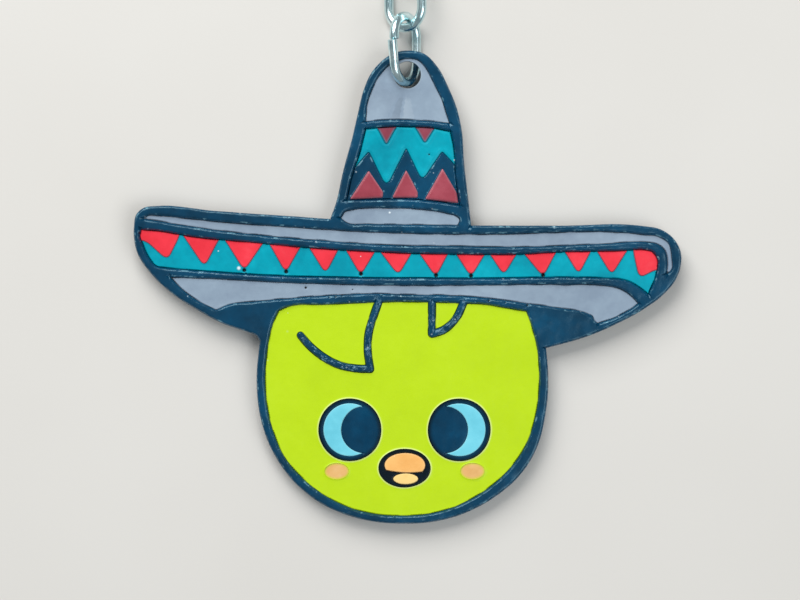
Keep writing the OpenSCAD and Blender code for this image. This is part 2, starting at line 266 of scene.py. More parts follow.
brim_strip_border = [
    [[-33.9, 8.7], [-33.2, 9.15], [-32, 9.1], [-25, 8.4], [-15, 7.65], [-7, 7.15], [0, 6.85], [10, 6.75],
     [30, 6.7], [32, 6.4], [33.3, 5.5], [33.7, 3.8], [33.6, 2.1], [33, 1.6]],
    [[33, 1.6], [33.1, 3.2], [32.8, 4.6], [31.7, 5.5], [30.8, 5.65], [25, 5.5], [15, 5.1], [5, 5.2],
     [-3, 5.35], [-11, 5.9], [-25, 7.3], [-33.9, 8.7]]]
brim_band_border = [
    [[-34.2, 7.35], [-32, 7.2], [-28, 6.5], [-20, 5.7], [-11, 4.9], [-3, 4.45], [5, 4.2], [14, 4.2],
     [20, 4.5], [28, 4.7], [30, 4.8], [31.2, 4.5], [31.85, 3.6], [31.8, 1.9], [30.7, -1]],
    [[30.7, -1], [29.4, 0], [28.4, 0.6], [27.2, 0.95], [25, 1.1], [10, 1.1], [-5, 1.15], [-15, 1.35],
     [-25, 1.9], [-31, 2.4]],
    [[-31, 2.4], [-32.2, 2.65], [-33.3, 3.9], [-34, 5.5], [-34.35, 6.4], [-34.2, 7.35]]]
brim_under_border = [
    [[-30.5, 1.25], [-25, 1.05], [-14, 0.5], [0, 0.2], [20, 0.3], [25, 0.2], [27, -0.2], [28.2, -0.9],
     [29.4, -2.1]],
    [[29.4, -2.1], [28, -3.1], [26, -4.1], [24.2, -4.7]],
    [[24.2, -4.7], [23.8, -4.3], [23.5, -3.7], [22.8, -3.35], [20, -2.8], [15, -2.1], [10, -1.45],
     [5, -1.1], [0, -1], [-5, -0.9], [-10, -1.1], [-16, -1.55], [-20, -1.9], [-23, -2.25], [-24.6, -2.95]],
    [[-24.6, -2.95], [-27, -1.75], [-29, -0.3], [-30.5, 1.25]]]
print("stretches in the rim:", len(rim_border))

# %% Borders of the face and of what is on it
face_border = [
    [[-16.6, -3], [-15.5, -2.55], [-11, -2.25], [-4.5, -2], [1, -1.9], [7, -2.1], [9.5, -2.2], [12, -2.6],
     [15.1, -3.1]],
    [[15.1, -3.1], [15.9, -5.5], [16.6, -8.7], [16.75, -12], [16.3, -16.5], [14.7, -20.9], [11.7, -24.6],
     [8, -27.2], [4, -28.8], [-0.7, -29.35], [-5, -29], [-9, -27.7], [-12.7, -25.3], [-15.6, -22.2],
     [-17.5, -18], [-18.35, -12.5], [-18, -7.6], [-17, -3.8], [-16.6, -3]]]
feather_lines = [
    [[-3.7, -1.6], [-4.5, -3.8], [-5.1, -6], [-5.2, -8.3], [-4.9, -10.5]],
    [[-4.9, -10.5], [-6.9, -10.43], [-9, -9.95], [-11.1, -8.85], [-12.7, -7.5], [-13.8, -6.2]]]
tuft_lines = [[[3, -1.5], [3, -6]], [[3, -6], [4.5, -5.5], [6, -4.1], [7.2, -1.7]]]
tuft_corners = [[3, 0], [3, -6], [4.5, -5.5], [6, -4.1], [7.2, -1.7], [7.2, 0]]
feather_width = 0.9
eye_middle = (-0.5, -18.3)
eye_gap = 7.0
eye_radius = 4.05
glint_radius = 3.4
glint_bite_radius = 3.0
glint_bite_shift = 1.9
cheek_gap = 8.7
cheek_y = -23.6
cheek_size = (1.55, 1.05)
beak_middle = (-0.5, -23.2)
beak_size = (3.35, 2.5)
upper_beak_middle = (-0.45, -22.85)
upper_beak_size = (2.6, 1.6)
mouth_y = -23.81
mouth_bend = 0.04
mouth_reach = 6.0
lower_beak_middle = (-0.35, -24.6)
lower_beak_size = (1.6, 0.7)
hole_middle = (-0.15, 27.1)
hole_radius = 1.75
print("eyes are", 2 * eye_radius, "mm across")

# %% Borders of the hat's pattern
zigzag_line = [[-9, 13], [-6.7, 15.4], [-5.1, 17.3], [-3.2, 13.5], [-2.8, 13.2], [-2.4, 13.5], [-0.3, 17.7],
               [1.4, 14.2], [1.8, 13.9], [2.2, 14.2], [4.3, 17.3], [5.9, 15.6], [8, 13.2]]
upper_triangles = [[[-4.2, 20.7], [-1.4, 20.7], [-2.8, 18.1]], [[0.7, 20.7], [3.6, 20.7], [2.1, 18.3]]]
lower_triangles = [[[-7.5, 11.2], [-5.1, 14.9], [-3.2, 12.1], [-3.3, 11.4]],
                   [[-2.1, 11.4], [-0.3, 15], [1.2, 12.1], [1.2, 11.4]],
                   [[2.1, 11.2], [4.35, 15.2], [6.2, 12], [6.4, 10.7], [5.4, 10.8]]]
# left and right corner on the band's top edge, and tip
brim_triangles = [[-28.9, -24.2, -26.1, 3], [-23.5, -18.6, -21, 2.5], [-17.8, -13.8, -15.7, 2.2],
                  [-12.7, -9, -10.6, 2.1], [-8, -4.3, -6.1, 1.9], [-3.6, 0.4, -1.3, 1.9],
                  [1.4, 5, 3.5, 1.7], [6.1, 9.8, 8, 1.7], [10.4, 13.8, 12.2, 1.9], [14.8, 18.9, 17.2, 1.7],
                  [20, 23.3, 21.8, 2], [24.1, 28, 26, 1.9]]
left_end_triangle = [[-36, 6], [-36, 9], [-29.2, 9], [-29.2, 6.7], [-30.8, 3.4], [-33.7, 6]]
right_end_triangle = [[28.7, 4.7], [28.7, 6], [34, 6], [34, 2.3], [31.8, 2.3], [29.5, 1.1]]
print("red triangles on the brim:", len(brim_triangles) + 2)

# %% [markdown]
# ## From points to areas
# A casting needs to know where its colour lies. Each border becomes a closed line of evenly spaced
# points, and an area is a set of such lines with a test for the points in it. Areas combine with
# & | and -, so the crown's teal is written as the band above the zigzag less its triangles.


# %% Smooth and even lines
def smooth_run(points, parts=10):
    """A curve through the points. Each span is a cubic that leaves and enters along the headings:
    a heading is the mean of the two chords' directions, in which the shorter chord counts more."""
    points = np.array(points, float)
    chord = np.diff(points, axis=0)
    length = np.linalg.norm(chord, axis=1)[:, None]
    way = chord / length
    heading = np.vstack([way[:1], way[:-1] * length[1:] + way[1:] * length[:-1], way[-1:]])
    heading[1:-1] /= length[1:] + length[:-1]
    t = np.linspace(0, 1, parts, endpoint=False)[None, :, None]
    start, end = points[:-1, None], points[1:, None]
    leave, enter = heading[:-1, None], heading[1:, None]
    run = start * (2 * t**3 - 3 * t**2 + 1) + end * (3 * t**2 - 2 * t**3)
    run = run + length[:, None] * (leave * (t**3 - 2 * t**2 + t) + enter * (t**3 - t**2))
    return np.vstack([run.reshape(-1, points.shape[1]), points[-1:]])


def evenly(line, gap):
    """The same line with its points at equal distances along it, at most `gap` apart."""
    along = np.append(0, np.cumsum(np.linalg.norm(np.diff(line, axis=0), axis=1)))
    at = np.linspace(0, along[-1], max(1, int(np.ceil(along[-1] / gap))) + 1)
    return np.column_stack([np.interp(at, along, column) for column in line.T])


def outline(border, gap=0.3):
    """A closed line of even points: each stretch is smooth, and stretches meet at corners."""
    return np.vstack([evenly(smooth_run(stretch), gap)[:-1] for stretch in border])


def eased(corners, ease=0.22, gap=0.15):
    """A closed line with straight sides. It leaves each side `ease` mm before the corner c and
    bends to the next side, the way poured colour fills a corner: (1-t)^2 start + 2t(1-t) c + t^2 end."""
    corners = np.array(corners, float)
    back = np.roll(corners, 1, axis=0) - corners
    on = np.roll(corners, -1, axis=0) - corners
    start = corners + ease * back / np.linalg.norm(back, axis=1)[:, None]
    end = corners + ease * on / np.linalg.norm(on, axis=1)[:, None]
    t = np.linspace(0, 1, 6)[None, :, None]
    bend = start[:, None] * (1 - t) ** 2 + 2 * t * (1 - t) * corners[:, None] + end[:, None] * t**2
    line = bend.reshape(-1, 2)
    return evenly(np.vstack([line, line[:1]]), gap)[:-1]


def oval(middle, size, gap=0.2):
    """A closed oval line: middle + (a cos t, b sin t)."""
    turn = np.linspace(0, 2 * np.pi, int(2 * np.pi * max(size) / gap), endpoint=False)
    return np.column_stack([middle[0] + size[0] * np.cos(turn), middle[1] + size[1] * np.sin(turn)])


def across(line):
    """The direction a quarter turn to the left of a line, at each of its points."""
    way = np.gradient(line, axis=0)
    way /= np.linalg.norm(way, axis=1)[:, None]
    return np.column_stack([-way[:, 1], way[:, 0]])


def stroke(points, width=feather_width):
    """The border of a stroke of even width along a smooth line, with half circles for ends."""
    line = evenly(smooth_run(points), 0.22)
    left = across(line)
    sides = line + left * width / 2, line - left * width / 2
    turn = np.linspace(np.pi / 2, -np.pi / 2, 9)[1:-1, None]
    caps = []
    for at, side in ((line[-1], left[-1]), (line[0], -left[0])):
        out = np.array([side[1], -side[0]])
        caps.append(at + width / 2 * (np.cos(turn) * out + np.sin(turn) * side))
    return np.vstack([sides[0], caps[0], sides[1][::-1], caps[1]])


print("points round the rim:", len(outline(rim_border)))


# %% Areas
hardly_any = 1e-12
ray_batch = 4000


def inside(points, line):
    """True for the points from which a ray to the right crosses the closed line an odd number of
    times. Only points within the line's own box are tried, some thousands at a time."""
    found = np.all((points > line.min(axis=0)) & (points < line.max(axis=0)), axis=1)
    picked = np.flatnonzero(found)
    start, end = line, np.roll(line, -1, axis=0)
    rise = end[:, 1] - start[:, 1]
    rise[rise == 0] = hardly_any
    for part in np.array_split(picked, len(picked) // ray_batch + 1):
        x, y = points[part, :1], points[part, 1:]
        crossed = (start[:, 1] > y) != (end[:, 1] > y)
        reached = start[:, 0] + (y - start[:, 1]) / rise * (end[:, 0] - start[:, 0])
        found[part] = (crossed & (x < reached)).sum(axis=1) % 2 == 1
    return found


class Area:
    """A part of the drawing: its border lines, and a test for the points that lie in it."""

    def __init__(self, lines, holds):
        self.lines = lines
        self.holds = holds

    def __and__(self, other):
        return Area(self.lines + other.lines, lambda p: self.holds(p) & other.holds(p))

    def __or__(self, other):
        return Area(self.lines + other.lines, lambda p: self.holds(p) | other.holds(p))

    def __sub__(self, other):
        return Area(self.lines + other.lines, lambda p: self.holds(p) & ~other.holds(p))


def within(line):
    """The area inside one closed line."""
    return Area([line], lambda p: inside(p, line))


def all_within(lines):
    """The area inside any of several closed lines."""
    area = within(lines[0])
    for line in lines[1:]:
        area = area | within(line)
    return area


# %% Red triangles of the brim
band_top = np.array(brim_band_border[0][:11], float)
blunting = 0.45
overrun = 1.3
brim_ease = 1.0


def brim_triangle(left, right, tip_x, tip_y):
    """A red triangle's corners: its sides run on past the band's top edge, which cuts it off, and
    its tip is lower by `blunting`, because rounding the corner takes some of it away."""
    tip = np.array([tip_x, tip_y - blunting])
    top = np.interp([left, right], band_top[:, 0], band_top[:, 1])
    corners = [np.array(corner) for corner in ((left, top[0]), (right, top[1]))]
    return [tip + overrun * (corner - tip) for corner in corners] + [tip]


brim_corners = [brim_triangle(*numbers) for numbers in brim_triangles]
brim_corners += [left_end_triangle, right_end_triangle]
print("corners of the second triangle, mm:", np.round(brim_corners[0], 2).tolist())

# %% The charm's areas
rim = within(outline(rim_border))
crown_cap = within(outline(crown_cap_border))
crown_band = within(outline(crown_band_border))
crown_hem = within(outline(crown_hem_border))
brim_strip = within(outline(brim_strip_border))
brim_band = within(outline(brim_band_border))
brim_under = within(outline(brim_under_border))
face = within(outline(face_border))
hole = within(oval(hole_middle, (hole_radius, hole_radius)))
feathers = all_within([stroke(line) for line in feather_lines + tuft_lines])
tuft = within(eased(tuft_corners, 0.01, 0.4))
above_zigzag = within(eased(zigzag_line + [[8, 24], [-9, 24]]))
crown_uppers = all_within([eased(corners, 0.45) for corners in upper_triangles]) & crown_band
crown_lowers = all_within([eased(corners) for corners in lower_triangles])
brim_reds = all_within([eased(corners, brim_ease) for corners in brim_corners]) & brim_band
eyes = {side: (eye_middle[0] + side * eye_gap, eye_middle[1]) for side in (-1, 1)}
eye_discs = {side: within(oval(eyes[side], (eye_radius, eye_radius))) for side in eyes}
glints = {
    side: within(oval((x, y), (glint_radius, glint_radius)))
    - within(oval((x - side * glint_bite_shift, y), (glint_bite_radius, glint_bite_radius)))
    for side, (x, y) in eyes.items()
}
cheeks = {side: within(oval((eye_middle[0] + side * cheek_gap, cheek_y), cheek_size)) for side in eyes}
beak = within(oval(beak_middle, beak_size))
mouth_x = np.linspace(-mouth_reach, mouth_reach, 81)
mouth_line = np.column_stack([mouth_x, mouth_y + mouth_bend * mouth_x**2])
over_mouth = within(np.vstack([mouth_line, [[mouth_reach, -14], [-mouth_reach, -14]]]))
upper_beak = within(oval(upper_beak_middle, upper_beak_size)) & over_mouth
lower_beak = within(oval(lower_beak_middle, lower_beak_size))
pockets = [crown_cap, crown_band, crown_hem, brim_strip, brim_band, brim_under]
print("pockets in the hat:", len(pockets), " eyes, glints and cheeks:", 3 * len(eyes))

# %% [markdown]
# ## From an area to a casting
# Cast PVC has no sharp edges: the lines stand up with round shoulders, the poured colours creep up
# a little where they touch a line, and nothing is quite flat. A CAD extrusion with bevels can't
# show that. So each casting is a height z(x, y), worked out at points that follow the border in
# close rows and fill the middle with a wider grid. Delaunay triangles join the points and keep
# the border as edges, a wall goes down from the border, and a plain sheet closes the bottom.

# %% Points, rows and triangles
from mathutils.geometry import delaunay_2d_cdt

border_rows = (0.04, 0.1, 0.18, 0.28, 0.4, 0.54)
nearness = 0.92
spot_clearance = 0.03
row_share = 0.866
segment_batch = 800


def triangles_over(points, edges):
    """Delaunay triangles over flat points, which keep the given edges."""
    corners, _, faces, *_ = delaunay_2d_cdt(points.tolist(), edges.tolist(), [], 0, 1e-6)
    return np.array(corners), np.array(faces)


def border_edges(triangles):
    """The edges that belong to one triangle only, in that triangle's direction."""
    edges = np.vstack([triangles[:, [0, 1]], triangles[:, [1, 2]], triangles[:, [2, 0]]]).astype(np.int64)
    size = triangles.max() + 1
    return edges[~np.isin(edges[:, 0] * size + edges[:, 1], edges[:, 1] * size + edges[:, 0])]


def distance_to(points, start, end):
    """How far each point is from the nearest segment: to its foot on the segment's line, held
    between the segment's two ends."""
    along = end - start
    square = (along**2).sum(axis=1)
    nearest = np.empty(len(points))
    for part in np.array_split(np.arange(len(points)), len(points) // segment_batch + 1):
        offset = points[part, None] - start
        foot = np.clip((offset * along).sum(axis=2) / square, 0, 1)
        nearest[part] = np.sqrt(((offset - foot[..., None] * along) ** 2).sum(axis=2).min(axis=1))
    return nearest


def coarse_sheet(area):
    """The area cut into triangles between its border points only."""
    counts = np.array([len(line) for line in area.lines])
    starts = np.repeat(np.cumsum(counts) - counts, counts)
    here = np.arange(counts.sum())
    following = starts + (here - starts + 1) % np.repeat(counts, counts)
    points, triangles = triangles_over(np.vstack(area.lines), np.column_stack([here, following]))
    triangles = triangles[area.holds(points[triangles].mean(axis=1))]
    used, triangles = np.unique(triangles, return_inverse=True)
    return points[used], triangles.reshape(-1, 3)


def grid_over(points, gap):
    """Grid points over the box of some points, every other row shifted by half a gap, so that
    three neighbours make a nearly even triangle."""
    low, high = points.min(axis=0), points.max(axis=0)
    rows = np.arange(low[1], high[1], gap * row_share)
    columns = np.arange(low[0], high[0], gap)
    x = columns[None, :] + (np.arange(len(rows)) % 2)[:, None] * gap / 2
    return np.column_stack([x.ravel(), np.repeat(rows, len(columns))])


def points_round(spots):
    """Rings of points in and around each spot, so that a small dent has a round shape."""
    turn = np.linspace(0, 2 * np.pi, 9)[:-1]
    circle = np.column_stack([np.cos(turn), np.sin(turn)])
    ring = np.vstack([[[0, 0]], *(share * circle for share in (0.5, 1, 1.6))])
    return (spots[:, None, :2] + ring[None] * spots[:, None, 2:3]).reshape(-1, 2)


# %% Fine sheet
def kept_triangles(area, points, triangles, edges):
    """The triangles inside an area. One that holds a border edge is inside if it runs along the
    edge the border's way, and outside if it runs the other way; the rest go by their middles."""
    size = len(points)
    a, b = triangles.astype(np.int64), np.roll(triangles, -1, axis=1).astype(np.int64)
    border = edges[:, 0].astype(np.int64) * size + edges[:, 1]
    with_it = np.isin(a * size + b, border).any(axis=1)
    against = np.isin(b * size + a, border).any(axis=1)
    return triangles[with_it | (~against & area.holds(points[triangles].mean(axis=1)))]


def fine_sheet(area, spots, gap):
    """The area's triangles with rows of points along the border, rings round the spots and a grid
    between. Each kind of point keeps its own least distance to the border. Returns the points,
    their distance to the border and their triangles, the coarse points and triangles, which coarse
    points are on the border, and the border's edges."""
    coarse_points, coarse = coarse_sheet(area)
    edges = border_edges(coarse)
    on_border, edges = np.unique(edges, return_inverse=True)
    edges = edges.reshape(-1, 2)
    border = coarse_points[on_border]
    start, end = border[edges[:, 0]], border[edges[:, 1]]
    inward = (end - start)[:, ::-1] * (-1, 1) / np.linalg.norm(end - start, axis=1)[:, None]
    rows = [(start + end) / 2 + depth * inward for depth in border_rows]
    limits = [np.full(len(start), nearness * depth) for depth in border_rows]
    grid, rings = grid_over(border, gap), points_round(spots)
    limits += [np.full(len(grid), border_rows[-1] + gap / 3), np.full(len(rings), spot_clearance)]
    inner = np.vstack(rows + [grid, rings])
    limit = np.concatenate(limits)
    held = area.holds(inner)
    inner, limit = inner[held], limit[held]
    depth = distance_to(inner, start, end)
    inner, depth = inner[depth >= limit], depth[depth >= limit]
    points, fine = triangles_over(np.vstack([border, inner]), edges)
    fine = kept_triangles(area, points, fine, edges)
    depth = np.append(np.zeros(len(border)), depth)
    return points, depth, fine, coarse_points, coarse, on_border, edges


# %% [markdown]
# ## Laying the charm down
# The drawing is flat, but the charm lies with its tip on the first link of the chain, so it leans
# on its chin. Its place comes from the CAD model's own box. A casting's borders also wander by a
# few hundredths of a millimetre, because a mould is cut and filled by hand: one gentle warp is
# used for every piece, so that neighbours still meet.

# %% Place and warp
tip_lift = 1.33
chin_y = -30.35
tip_y = 30.2
lean = np.arcsin(tip_lift / (tip_y - chin_y))
back_t = 1.2
fill_z = 2.0
face_z = 2.15
warp = 0.014
warp_size = 4.5
rim_points = outline(rim_border)
shift_x = (charm_low[0] + charm_high[0]) / 2 - (rim_points[:, 0].min() + rim_points[:, 0].max()) / 2
shift_y = charm_low[1] - chin_y + back_t * np.sin(lean)


def ripple(points, size, seed):
    """Gentle unevenness from about -1 to 1: the sum of six sine waves of roughly that size in mm,
    each with its own direction and phase, over 2.5."""
    rng = np.random.default_rng(seed)
    turn, phase = rng.uniform(0, 2 * np.pi, (2, 6))
    pace = 2 * np.pi / (size * rng.uniform(0.7, 1.6, 6))
    angle = points[:, :1] * np.cos(turn) * pace + points[:, 1:2] * np.sin(turn) * pace + phase
    return np.sin(angle).sum(axis=1) / 2.5


def lay_down(points):
    """Drawing points in mm to the frame in metres: warped, turned about the chin, then shifted."""
    x, y, z = points.T
    x = x + warp * ripple(points, warp_size, 11)
    y = y + warp * ripple(points, warp_size, 12)
    from_chin = y - chin_y
    laid_y = chin_y + from_chin * np.cos(lean) - z * np.sin(lean)
    laid_z = from_chin * np.sin(lean) + z * np.cos(lean)
    return np.column_stack([x + shift_x, laid_y + shift_y, laid_z]) * MM


print("lean, degrees:", round(np.degrees(lean), 3), " shift, mm:", round(shift_x, 3), round(shift_y, 3))


# %% A casting as a mesh
def make_piece(name, points, faces, body, nodes, slot, finish, sharp=40.0, **numbers):
    """A mesh object in its place on its body, with its numbers per point and its finish; the CAD parts in
    `nodes` are hidden.
    Edges that bend by more than `sharp` degrees stay sharp."""
    mesh = bpy.data.meshes.new(name)
    mesh.from_pydata(points.tolist(), [], faces)
    for title, values in numbers.items():
        data = mesh.attributes.new(title, "FLOAT", "POINT").data
        data.foreach_set("value", values.astype(np.float32))
    mesh.polygons.foreach_set("use_smooth", np.ones(len(faces), bool))
    mesh.set_sharp_from_angle(angle=np.radians(sharp))
    mesh.materials.append(finish)
    mesh.update()
    piece = bpy.data.objects.new(name, mesh)
    bpy.context.scene.collection.objects.link(piece)
    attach(piece, body)
    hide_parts(*nodes)


no_spots = np.zeros((0, 5))
far_off = 5.0
# The bottom points count as lying beside a wall, so the sides of each casting take the painted crevice
# shade, darkest at the backing's top, 1.2 mm up.
shaded_side_wall = 0.05


def to_walls(points, walls):
    """Distance to the nearest of some closed lines, or far off where there are none."""
    reach = [distance_to(points, line, np.roll(line, -1, axis=0)) for line in walls]
    return np.min([*reach, np.full(len(points), far_off)], axis=0)


def no_painted_light(points):
    """No tone at any point."""
    return np.zeros(len(points))


def cast(name, area, height, node, slot, finish, walls=None, met=None, spots=no_spots, stain=no_painted_light,
         gap=0.45, under=False):
    """Casts an area between its surface height(points, depth, wall) and the top of the backing.
    depth is the distance to the area's own border, and wall the distance to the lines in `walls`,
    or depth again where `walls` isn't given. The edge tint, a painted highlight on some colours,
    follows the lines given for it, or else the area's border. Each spot (x, y, radius, deep, tone)
    sinks the surface by deep * exp(-(distance / radius)^2) and tints it by its tone in the same way:
    a dark tone is painted shade, and a pale tone marks flecks and painted highlights. The function
    given for painted light adds painted light and shade to that tone. under=True turns the faces
    round, for a surface that looks down."""
    points, depth, fine, coarse_points, coarse, on_border, edges = fine_sheet(area, spots, gap)
    wall = depth if walls is None else to_walls(points, walls)
    reach = np.linalg.norm(points[:, None] - spots[None, :, :2], axis=2) / spots[:, 2]
    dent = np.exp(-(reach**2))
    z = height(points, depth, wall) - (dent * spots[:, 3]).sum(axis=1)
    top = np.column_stack([points, z])
    bottom = np.column_stack([coarse_points, np.full(len(coarse_points), back_t)])
    a, b = edges.T
    far_a, far_b = on_border[edges.T] + len(top)
    side_faces = np.column_stack([far_a, far_b, b, a])
    bottom_faces = coarse[:, ::-1] + len(top)
    groups = [group[:, ::-1] if under else group for group in (fine, bottom_faces, side_faces)]
    faces = [face for group in groups for face in group.tolist()]
    edge = depth if met is None else to_walls(points, met)
    per_point = {
        "edge": np.append(edge, np.zeros(len(bottom))),
        "wall": np.append(wall, np.full(len(bottom), shaded_side_wall)),
        "tone": np.append((dent * spots[:, 4]).sum(axis=1) + stain(points), np.zeros(len(bottom))),
    }
    solid = lay_down(np.vstack([top, bottom]))
    make_piece(name, solid, faces, "charm", [node], slot, finish, **per_point)
    print(f"{name}: {len(faces)} faces")


def shoulder(depth, radius):
    """How far a round edge lies under its top at a depth from the border: a quarter circle."""
    left = radius - np.minimum(depth, radius)
    return radius - np.sqrt(radius**2 - left**2)


# %% [markdown]
# ## The PVC finish
# Soft PVC is satin: it shines a little, its colour clouds slightly where the pour was thicker, its
# edges are tinted, and it picks up pale dust. The edge tint is a blend where two colours meet, the
# eyes' dark printed ring and a paler rim on the glints and the beak. On the navy lines, the grey,
# the lime and the dark red it is a painted highlight on lips and round edges. One recipe makes all
# the colours. The distance to the border that each casting keeps per point drives the edge tint
# and the pale dashes on the lines' round edges, which are painted highlights. The tone of its
# spots makes voids dark with painted shade and flecks pale, and some pale spots are painted
# highlights. The crevice along each wall is darkened with painted shade.

# %% Soft PVC
painted_crevice_shade = "#03141f"
painted_highlight_shade = "#8cc0d0"
dust_shade = "#dfe6ea"
void_painted_shade = "#05070a"
fleck_and_highlight_shade = "#d8e4ea"
dust_gap = 1.7
untinted = (1, 1, 1, 1)


def soft_pvc(name, colour, shadow, light, edge, edge_width, edge_share, gloss, dust, cloudy=1.0,
             shine=0.22, shine_tint=untinted, wear=0.0):
    """Satin PVC. colour clouds at random towards shadow and light. Near its border it turns to edge:
    a blend where two colours meet, the eyes' dark printed ring, a paler rim on the glints and the
    beak, and on the navy lines, the grey, the lime and the dark red a painted highlight on lips and
    round edges. In the crevice along a wall it takes a painted shade. gloss is its roughness, dust
    how many specks lie on it, shine and shine_tint set its reflections, and the last argument sets
    how strong the painted highlight dashes on its round edges are."""
    finish = Finish(name)
    clouds = finish.noise(5.0, 3, 0.55)
    mottle = finish.noise(0.9, 3, 0.6)
    grain = finish.noise(0.09, 2, 0.6)
    smears = finish.noise(2.2, 4, 0.65)
    deep = cloudy * (1 - finish.between(clouds + 0.35 * mottle, 0.45, 0.78))
    body = finish.mix(deep, shade(colour), shade(shadow))
    body = finish.mix(0.7 * cloudy * finish.between(clouds - 0.4 * mottle, 0.3, 0.55), body, shade(light))
    wall = finish.attribute("wall")
    rounding = finish.attribute("edge")
    # Edge tint: a blend where colours meet, and on the navy lines, grey, lime and dark red a painted
    # highlight.
    met = (1 - finish.between(rounding + 0.1 * mottle, 0.02, edge_width + 0.05)) * edge_share
    body = finish.mix(met * finish.between(wall, 0.12, 0.35), body, shade(edge))
    # Painted shade: the crevice along a wall is darkened towards near black, in broken stretches.
    crevice = 1 - finish.between(wall + 0.05 * mottle, 0.05, 0.15)
    broken = finish.between(finish.noise(1.5, 3, 0.6), 0.4, 0.58)
    body = finish.mix((0.45 + 0.5 * broken) * crevice, body, shade(painted_crevice_shade))
    # Painted highlight: pale broken dashes on the round edges, a little in from the border.
    highlight_dashes = finish.between(rounding, 0.03, 0.09) * finish.between(rounding, 0.3, 0.18)
    highlight_dashes = highlight_dashes * finish.between(finish.noise(1.2, 4, 0.7), 0.57, 0.64)
    body = finish.mix(wear * highlight_dashes, body, shade(painted_highlight_shade))
    cells = {"Vector": finish.place, "Scale": 1 / (dust_gap * MM)}
    near = finish.node("ShaderNodeTexVoronoi", {"feature": "F1"}, cells)
    chance = finish.node("ShaderNodeTexVoronoi", {"feature": "F1"}, cells, "Color")
    picked = finish.node("ShaderNodeSeparateColor", None, {"Color": chance})
    specks = finish.between(near + 0.05 * mottle, 0.085, 0.05)
    specks = specks * finish.between(picked, 1 - 0.06 * dust, 1 - 0.03 * dust)
    body = finish.mix(0.6 * specks, body, shade(dust_shade))
    # The spots' tone: dark is painted shade in voids, nicks and the crown's darker fold; pale is flecks,
    # painted highlights and the crown's painted paler fold.
    tone = finish.attribute("tone")
    body = finish.mix(finish.between(tone, 0.15, 0.75), body, shade(void_painted_shade))
    body = finish.mix(finish.between(0 - tone, 0.15, 0.8), body, shade(fleck_and_highlight_shade))
    roughness = gloss + 0.25 * (smears - 0.5) + 0.12 * (grain - 0.5) + 0.25 * specks
    height = 0.006 * grain + 0.024 * mottle + 0.02 * smears + 0.02 * specks
    return finish.surface(
        body, roughness, height, IOR=1.49, Specular_IOR_Level=shine, Specular_Tint=shine_tint
    )


# %% PVC colours
# name, then colour, shadow, light and edge, then edge width in mm, edge share, gloss and dust
sea_tint = (0.5, 0.85, 1.0, 1.0)
# Navy: its paler edge colour is a painted highlight on the lines' round shoulders, and its last argument
# lays painted highlight dashes there.
navy_pvc = soft_pvc("navy_pvc", "#013856", "#012d47", "#034668", "#06587a", 0.22, 0.45, 0.23, 0.3,
                    shine=0.65, shine_tint=sea_tint, wear=0.45)
# Grey: its paler edge colour is a painted highlight on the lip a little in from the lines.
grey_pvc = soft_pvc("grey_pvc", "#8b9daf", "#8091a4", "#97aabb", "#adbcc6", 0.26, 0.3, 0.34, 0.3)
# Lime: its pale edge colour is a painted highlight on the lip round the eyes and beak.
lime_pvc = soft_pvc("lime_pvc", "#b9d91a", "#b2d116", "#c0df28", "#e0ee9c", 0.26, 0.85, 0.3, 0.1, cloudy=0.4)
teal_pvc = soft_pvc("teal_pvc", "#009cb0", "#008ba0", "#08aec2", "#0a7486", 0.24, 0.6, 0.36, 0.2,
                    shine=0.25, shine_tint=sea_tint)
bright_red_pvc = soft_pvc("bright_red_pvc", "#ec3847", "#df303e", "#f24b58", "#b04a5a", 0.26, 0.65, 0.3, 0.2)
# Dark red: its pink edge colour is a painted highlight on the triangles' round edges.
dark_red_pvc = soft_pvc("dark_red_pvc", "#9c3f4e", "#8e3543", "#aa4e5c", "#d08c98", 0.24, 0.8, 0.28, 0.2,
                        shine=0.4)
faded_red_pvc = soft_pvc("faded_red_pvc", "#8c4050", "#7f3745", "#984c5b", "#08859a", 0.34, 0.85, 0.36, 0.2)
light_blue_pvc = soft_pvc("light_blue_pvc", "#74cfe2", "#68c4d8", "#82d8e8", "#9fe2ee", 0.2, 0.6, 0.3, 0.1)
orange_pvc = soft_pvc("orange_pvc", "#f7bd72", "#efb064", "#f9c883", "#fad09a", 0.22, 0.6, 0.3, 0.1)
peach_pvc = soft_pvc("peach_pvc", "#f5d286", "#ecc577", "#f8dc9a", "#f8dca0", 0.2, 0.5, 0.34, 0.1)
cheek_pvc = soft_pvc("cheek_pvc", "#e2b272", "#d6a05e", "#ecc68e", "#c8c63c", 0.38, 0.9, 0.4, 0.1)
eye_navy_pvc = soft_pvc("eye_navy_pvc", "#013654", "#012c46", "#034263", "#01060a", 0.75, 1.0, 0.32, 0.15,
                        shine=0.3, shine_tint=sea_tint)
beak_line_pvc = soft_pvc("beak_line_pvc", "#03141f", "#020e16", "#061f2d", "#01060a", 0.2, 0.7, 0.26, 0.1)
print("nodes in a PVC finish:", len(navy_pvc.node_tree.nodes))

# %% [markdown]
# ## The backing sheet
# The back of the charm is one navy sheet, 1.2 mm thick, cast last over the colours. It is plain,
# with a round lower edge, and it is 0.1 mm thinner round the hanging hole. It is the same kind of
# casting, looking down: the height is its underside, and its plain side is under the lines.

# %% Cast the backing sheet
relief_y = 24.0
relief_run = 0.6
relief_height = 0.1


def backing_underside(points, depth, wall):
    """Flat at 0 with round edges, gently uneven, and raised in an eased step near the hole."""
    step = np.clip((points[:, 1] - relief_y) / relief_run + 0.5, 0, 1)
    uneven = np.clip(0.012 * (1 + ripple(points, 9, 21)), 0, 0.03)
    return relief_height * step**2 * (3 - 2 * step) + shoulder(depth, 0.22) + uneven


cast("backing_sheet", rim - hole, backing_underside, "back_layer", "navy_pvc", navy_pvc,
     walls=[], gap=0.9, under=True)

